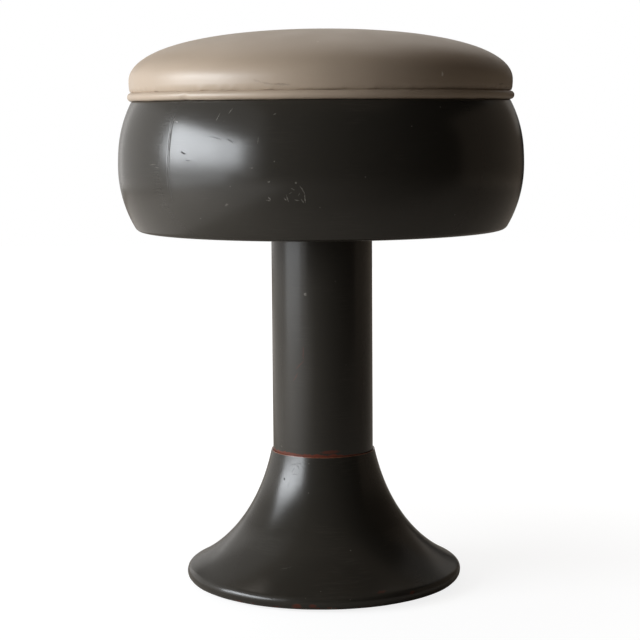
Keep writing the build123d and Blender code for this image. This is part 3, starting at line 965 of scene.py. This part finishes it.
def make_staples(seat, material):
    """Staples through the hem into the board, seen from below inside the drum."""
    values = {
        "Count": seat.staple_count,
        "Circle radius": 135 * MM,
        "Level": cushion_low.z - 0.25 * MM,
        "Crown": (10 * MM, 1.2 * MM, 0.7 * MM),
        "Leg": (0.7 * MM, 1.2 * MM, 1.4 * MM),
        "Leg shift": (4.65 * MM, 0, 0.4 * MM),
        "Askew": 0.22,
        "Material": material,
    }
    staples = grown("hem_staples", staple_growth(), values)
    put_on(staples, "seat", "zinc")


def make_drum(shell):
    """Bulging drum: enamel outside, primer inside, the weld of its sheet on the left."""
    outline = drum_outline()
    seam = degrees(shell.seam_azimuth)
    far = np.arange(-180, 180, 1.5)
    near = seam + np.concatenate((np.arange(-16, -3, 0.5), np.arange(-3, 3, 0.12), np.arange(3, 6, 0.5)))
    azimuths = np.sort(np.concatenate((far[(far < seam - 16) | (far > seam + 6)], near)))
    fall_run = 5 * MM
    return_run = 34 * MM
    crack_width = 0.5 * MM
    crack_depth = 0.2 * MM
    wave_depth = 0.12 * MM
    wave_inset = 0.15 * MM
    weld_foot = 335 * MM
    weld_top = 416 * MM

    def surface(radius, height, turn):
        """Lets the sheet fall away left of its weld, opens the weld's crack and waves the wall."""
        drift = wander(height / (11 * MM), 2.0) * 0.5 * MM
        away = (turn - shell.seam_azimuth) * radius - drift
        left = np.minimum(away, 0)
        fall = shell.seam_step * (1 - np.exp(left / fall_run)) * np.exp(left / return_run)
        above_foot = np.clip((height - weld_foot) / (30 * MM), 0, 1)
        level = above_foot * np.clip((weld_top - height) / (10 * MM), 0, 1)
        across = away / crack_width
        pair = np.exp(-(across**2)) + 0.6 * np.exp(-((across + 3.6) ** 2))
        crack = crack_depth * pair * (0.6 + 0.4 * wander(height / (3 * MM), 5.0))
        wave = wave_depth * (np.sin(3 * turn + 0.8) + 0.6 * np.sin(5 * turn + 45 * height))
        return radius - (fall + crack) * level + wave - wave_inset, height

    drum = lathe("drum", section_of(outline, shell.wall), azimuths, surface)
    marks = {
        "dark": (
            (seam, 391, 32, 0.8, 90, 0.6), (seam - 0.55, 388, 40, 0.6, 91, 0.35),
            (seam + 0.1, 360, 36, 0.6, 90, 0.3), (-24, 392.6, 7, 0.9, -26, 0.9),
            (-28.5, 394.8, 14, 0.6, -14, 0.6), (-38.7, 382.9, 6, 1.2, -22, 0.8),
            (-37, 376.5, 6, 0.7, 0, 0.6), (150, 384, 14, 0.8, -18, 0.7),
        ),
        "pale": (
            (seam - 0.25, 396, 20, 0.7, 90, 0.4), (seam + 1.4, 407.5, 5, 0.9, -12, 0.4),
            (seam + 0.3, 409.5, 4, 0.8, 60, 0.3), (-28.5, 411.2, 7, 0.9, 66, 0.5),
            (-25.1, 415.6, 5.5, 0.7, 53, 0.45), (-6.5, 359.9, 1.8, 1.5, 0, 0.5),
            (-4.9, 354.2, 8, 0.9, -59, 0.5), (-4.25, 347.5, 7, 1, 92, 0.55),
            (-4.9, 345.2, 4.5, 0.8, -67, 0.45), (-8.8, 347.5, 6, 1, -78, 0.6),
            (-9.4, 347.1, 3.5, 0.9, -52, 0.45), (-6.3, 346.2, 4.5, 0.8, -10, 0.4),
            (-7.3, 354.8, 3.2, 0.8, -25, 0.4), (-8, 351.6, 2.4, 0.7, 40, 0.3),
            (-5.8, 350.6, 3, 0.6, 70, 0.3), (-13.5, 360.6, 2, 1.5, 0, 0.55),
            (-13.6, 347.6, 3.4, 0.9, -53, 0.5), (-13.9, 345.9, 4.4, 0.9, -5, 0.45),
            (-18, 371.4, 4, 0.8, 4, 0.25), (-16.4, 393, 6, 0.7, 85, 0.2),
            (-12.3, 413, 3, 0.8, 40, 0.3), (-25.6, 342.1, 4, 1.6, 30, 0.25),
            (-51, 373, 9, 0.7, 4, 0.25), (-49, 370.5, 6, 0.7, 0, 0.22),
            (96, 371, 12, 0.8, 24, 0.4), (101, 362, 5, 1.2, 10, 0.4),
            (171, 352, 6, 1.2, 15, 0.4), (173, 349, 4, 0.9, 60, 0.4),
            (-128, 359, 10, 0.9, 12, 0.4),
        ),
        "primer": ((122, 321, 4, 2, 0, 0.9), (-97, 318.5, 5, 1.6, 0, 0.9)),
    }
    drum.data.materials.append(enamel("drum_enamel", shell, outline, marks))
    drum.data.materials.append(dull_coat("red_oxide_primer", shell.primer, 3 * MM, 0.8))
    inner = np.zeros(len(drum.data.polygons), np.int32)
    inner[len(outline) * len(azimuths) :] = 1
    drum.data.polygons.foreach_set("material_index", inner)
    put_on(drum, "seat", "enamel", "drum_shell")


def dress(node, material):
    """Gives a CAD node its material."""
    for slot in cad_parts[node].material_slots:
        slot.material = material


def make_foot(shell):
    """Spun foot with its rolled rim, the column that stands in it and the weld at the column's top."""
    outline = bell_outline(shell.foot_wall)
    knock_depth = 0.25 * MM
    knock_height = 26 * MM
    wave_depth = 0.10 * MM

    def surface(radius, height, turn):
        """Waves the spun wall and knocks the rim a little out of true."""
        low = np.clip(1 - height / knock_height, 0, 1)
        knock = knock_depth * low * wander(turn * 9, 3.0)
        wave = wave_depth * np.sin(2 * turn + 30 * height)
        neck = np.clip((neck_level - height) / (30 * MM), 0, 1)
        return radius + wave * neck + knock, height

    bell = lathe("bell", section_of(outline, shell.foot_wall), np.arange(-180, 180, 1.25), surface)
    marks = {
        "primer": (
            (-10.9, 5.3, 9, 5, 0, 0.85), (-4.6, 5.9, 7, 4, 0, 0.75),
            (2, 4.2, 5, 2, 0, 0.6), (37.7, 10.1, 6, 3, 10, 0.7),
            (24, 14, 10, 1.6, 5, 0.4), (140, 7, 10, 4, 0, 0.85),
            (-150, 6, 7, 3, 0, 0.85),
        ),
        "dark": (
            (-41.5, 96.5, 2.2, 1.6, -20, 0.8), (-33, 109.5, 7, 1, 12, 0.16),
            (-27, 107.5, 6, 1, -48, 0.15), (-26.5, 111, 7, 1, -10, 0.13),
            (-32.5, 105, 6, 1, 62, 0.16), (-29.5, 101.5, 7, 1.2, 4, 0.12),
            (-35.5, 92.5, 6, 1, 70, 0.14),
        ),
        "pale": ((-20, 30, 10, 0.8, 12, 0.08), (3, 3.8, 9, 1.2, 0, 0.4), (95, 60, 14, 0.9, 40, 0.3)),
    }
    # Colour, height, depth and side of the broken coat on the foot's lip and on the column over it
    lip = (linear("#8E5F4B"), 115.8 * MM, 0.4 * MM, -1)
    joint = (linear("#622C1D"), neck_level - 0.6 * MM, 6.0 * MM, 1)
    skin = enamel("bell_enamel", shell, outline, marks, 0.22, worn_below=11 * MM, bands=(lip,))
    bell.data.materials.append(skin)
    put_on(bell, "foot", "enamel", "bell_base")
    pipe = complex(column_high.x, column_high.z) + np.array([0, -1j * (column_high.z - column_low.z)])
    column_marks = {
        "pale": ((-19.2, 258.8, 2.4, 2.4, 0, 0.6), (160, 230, 8, 0.9, 60, 0.3)),
        "primer": (
            (8, 121, 18, 3.4, 3, 0.75), (-22, 208, 1, 12, 0, 0.5),
            (-26.5, 197, 12, 1, 45, 0.5), (-32, 186, 10, 1, 55, 0.45),
        ),
        "dark": ((100, 170, 10, 0.8, 70, 0.5),),
    }
    paint = enamel("column_enamel", shell, pipe, column_marks, bands=(joint,))
    dress("column_tube", paint)
    values = {
        "Ring radius": column_high.x + 0.2 * MM,
        "Level": column_high.z,
        "Bead radius": 1.7 * MM,
        "Wobble": 1.0 * MM,
        "Wobble size": 3.5 * MM,
        "Join": on_side(column_high.x, 150.0, column_high.z),
        "Material": paint,
    }
    bead = grown("housing_weld", bpy.data.node_groups["uneven_ring"], values)
    put_on(bead, "foot", "enamel")


def make_hardware():
    """Finishes of the pieces inside: ballast, felt, flange, swivel, spider, board and fasteners."""
    iron = dull_coat("cast_iron", linear("#3A3836"), 2.5 * MM, 0.72)
    black = dull_coat("black_paint", linear("#242424"), 1.6 * MM, 0.5)
    steel = bare_metal("ground_steel", linear("#B4B3B0"), 0.26)
    bronze = bare_metal("sintered_bronze", linear("#B07C3E"), 0.38)
    brass = bare_metal("pressed_brass", linear("#C9A24F"), 0.30)
    zinc = bpy.data.materials["zinc_plate"]
    finishes = (
        (iron, ("ballast_disc",)),
        (felt(), ("floor_felt",)),
        (black, ("foot_flange", "seat_spider")),
        (zinc, ("foot_bolts", "foot_washers", "spindle_washer", "spider_screws", "drum_screws")),
        (steel, ("bearing_housing", "lower_race", "upper_race", "bearing_balls")),
        (steel, ("swivel_spindle", "spindle_circlip")),
        (bronze, ("upper_bush", "lower_bush")),
        (brass, ("ball_cage",)),
        (plywood(), ("seat_board",)),
    )
    for material, nodes in finishes:
        for node in nodes:
            dress(node, material)


class STOOL_OT_stage(bpy.types.Operator):
    """Set the floor, the light and the camera"""

    bl_idname = "stool.stage"
    bl_label = "Stage"

    def execute(self, context):
        make_stage(context.scene.stool_stage)
        return {"FINISHED"}


class STOOL_OT_seat(bpy.types.Operator):
    """Fill the cushion, sew its piping and staple its hem"""

    bl_idname = "stool.seat"
    bl_label = "Seat"

    def execute(self, context):
        seat = context.scene.stool_seat
        line = cushion_line(seat)
        # Dark marks paint the shade of soft creases into the cover; pale marks are flecks
        crease_shade_and_flecks = {
            "dark": (
                (-10.6, 436, 14, 1.8, -2, 0.36), (-14.6, 437, 11, 1.6, -10, 0.25),
                (-17.2, 438.7, 9, 1.6, -16, 0.14), (64, 436.5, 14, 1.2, 4, 0.5),
                (158, 435.8, 12, 1.2, -5, 0.6),
            ),
            "pale": ((35.5, 444, 2, 4.2, 0, 0.9), (-1, 470, 2, 1.2, 0, 0.25)),
        }
        cover = leathercloth(seat, line, crease_shade_and_flecks)
        make_cushion(seat, line, cover)
        make_piping(seat, cover)
        make_staples(seat, bare_metal("zinc_plate", linear("#C3C2BC"), 0.30))
        return {"FINISHED"}


class STOOL_OT_drum(bpy.types.Operator):
    """Spin the drum under the seat"""

    bl_idname = "stool.drum"
    bl_label = "Drum"

    def execute(self, context):
        make_drum(context.scene.stool_shell)
        return {"FINISHED"}


class STOOL_OT_foot(bpy.types.Operator):
    """Spin the foot and paint the column"""

    bl_idname = "stool.foot"
    bl_label = "Foot and column"

    def execute(self, context):
        make_foot(context.scene.stool_shell)
        return {"FINISHED"}


class STOOL_OT_hardware(bpy.types.Operator):
    """Finish the swivel, the fasteners and the ballast"""

    bl_idname = "stool.hardware"
    bl_label = "Hardware"

    def execute(self, context):
        make_hardware()
        return {"FINISHED"}


class STOOL_PT_panel(bpy.types.Panel):
    """Shows the stool's settings and the buttons that build it"""

    bl_label = "Swivel stool"
    bl_idname = "STOOL_PT_panel"
    bl_space_type = "VIEW_3D"
    bl_region_type = "UI"
    bl_category = "Stool"

    def draw(self, context):
        scene = context.scene
        for settings, operators in (
            (scene.stool_stage, ("stool.stage",)),
            (scene.stool_seat, ("stool.seat",)),
            (scene.stool_shell, ("stool.drum", "stool.foot")),
        ):
            box = self.layout.box()
            for name in settings.__annotations__:
                box.prop(settings, name)
            for operator in operators:
                box.operator(operator)
        self.layout.operator("stool.hardware")


classes = (
    SeatSettings,
    ShellSettings,
    StageSettings,
    STOOL_OT_stage,
    STOOL_OT_seat,
    STOOL_OT_drum,
    STOOL_OT_foot,
    STOOL_OT_hardware,
    STOOL_PT_panel,
)


def register():
    """Registers the classes and hangs the settings on the scene."""
    for item in classes:
        bpy.utils.register_class(item)
    bpy.types.Scene.stool_seat = bpy.props.PointerProperty(type=SeatSettings)
    bpy.types.Scene.stool_shell = bpy.props.PointerProperty(type=ShellSettings)
    bpy.types.Scene.stool_stage = bpy.props.PointerProperty(type=StageSettings)


def unregister():
    """Takes the settings off the scene and unregisters the classes."""
    del bpy.types.Scene.stool_stage
    del bpy.types.Scene.stool_shell
    del bpy.types.Scene.stool_seat
    for item in reversed(classes):
        bpy.utils.unregister_class(item)


def main():
    register()
    bpy.ops.stool.stage()
    bpy.ops.stool.seat()
    bpy.ops.stool.drum()
    bpy.ops.stool.foot()
    bpy.ops.stool.hardware()


if __name__ == "__main__":
    main()
